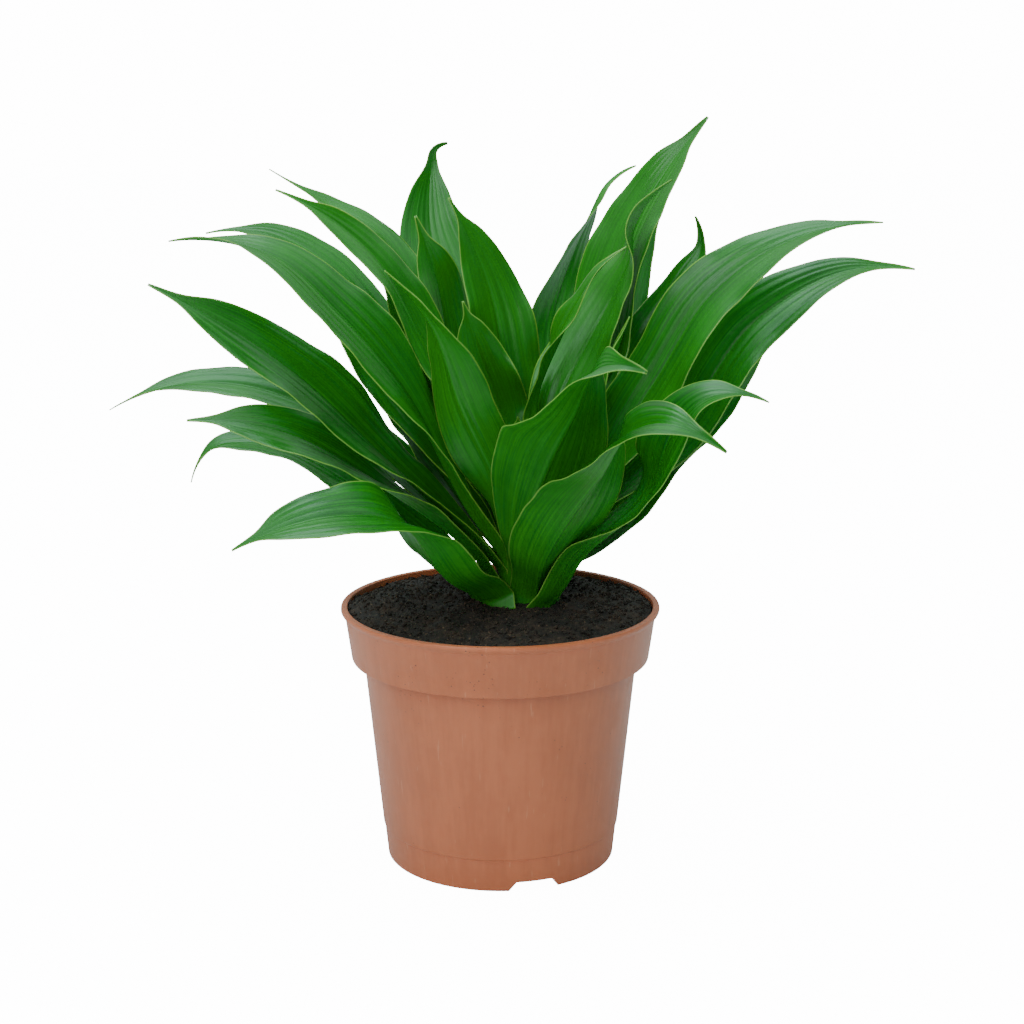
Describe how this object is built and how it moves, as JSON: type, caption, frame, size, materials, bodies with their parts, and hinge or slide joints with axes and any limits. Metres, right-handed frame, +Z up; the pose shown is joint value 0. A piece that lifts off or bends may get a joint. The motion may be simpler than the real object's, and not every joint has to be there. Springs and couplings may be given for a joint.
{
  "type": "potted dracaena",
  "caption": "Compact leafy house plant with long arching pointed leaves, rooted in a soil-filled round nursery pot with a stepped rim band, standing on a flat foot ring.",
  "frame": {"origin": "centre of the pot's underside, on the surface it stands on", "axes": "+Z up along the pot's axis; the plant's widest spread runs along X and the side that faces the camera in the picture faces -Y"},
  "size_m": [0.3253, 0.2164, 0.3004],
  "materials": {
    "terracotta_plastic": "satin",
    "peat": "matte",
    "green_cane": "satin",
    "leaf_left_1": "gloss",
    "leaf_left_2": "gloss",
    "leaf_left_3": "gloss",
    "leaf_left_4": "gloss",
    "leaf_left_5": "gloss",
    "leaf_left_6": "gloss",
    "leaf_left_7": "gloss",
    "leaf_left_8": "gloss",
    "leaf_left_9": "gloss",
    "leaf_left_10": "gloss",
    "leaf_left_11": "gloss",
    "leaf_left_12": "gloss",
    "leaf_left_13": "gloss",
    "leaf_front_1": "gloss",
    "leaf_front_2": "gloss",
    "leaf_front_3": "gloss",
    "leaf_front_4": "gloss",
    "leaf_right_1": "gloss",
    "leaf_right_2": "gloss",
    "leaf_right_3": "gloss",
    "leaf_right_4": "gloss",
    "leaf_right_5": "gloss",
    "leaf_right_6": "gloss",
    "leaf_right_7": "gloss",
    "leaf_right_8": "gloss",
    "leaf_right_9": "gloss",
    "leaf_back_1": "gloss",
    "leaf_back_2": "gloss",
    "leaf_back_3": "gloss",
    "leaf_back_4": "gloss",
    "leaf_back_5": "gloss",
    "leaf_back_6": "gloss",
    "leaf_back_7": "gloss",
    "leaf_spear": "gloss"
  },
  "bodies": {
    "root": {"pot": "terracotta_plastic", "soil": "peat", "stem_with_roots": "green_cane", "leaf_left_1": "leaf_left_1", "leaf_left_2": "leaf_left_2", "leaf_left_3": "leaf_left_3", "leaf_left_4": "leaf_left_4", "leaf_left_5": "leaf_left_5", "leaf_left_6": "leaf_left_6", "leaf_left_7": "leaf_left_7", "leaf_left_8": "leaf_left_8", "leaf_left_9": "leaf_left_9", "leaf_left_10": "leaf_left_10", "leaf_left_11": "leaf_left_11", "leaf_left_12": "leaf_left_12", "leaf_left_13": "leaf_left_13", "leaf_front_1": "leaf_front_1", "leaf_front_2": "leaf_front_2", "leaf_front_3": "leaf_front_3", "leaf_front_4": "leaf_front_4", "leaf_right_1": "leaf_right_1", "leaf_right_2": "leaf_right_2", "leaf_right_3": "leaf_right_3", "leaf_right_4": "leaf_right_4", "leaf_right_5": "leaf_right_5", "leaf_right_6": "leaf_right_6", "leaf_right_7": "leaf_right_7", "leaf_right_8": "leaf_right_8", "leaf_right_9": "leaf_right_9", "leaf_back_1": "leaf_back_1", "leaf_back_2": "leaf_back_2", "leaf_back_3": "leaf_back_3", "leaf_back_4": "leaf_back_4", "leaf_back_5": "leaf_back_5", "leaf_back_6": "leaf_back_6", "leaf_back_7": "leaf_back_7", "leaf_spear": "leaf_spear"}
  },
  "joints": []
}
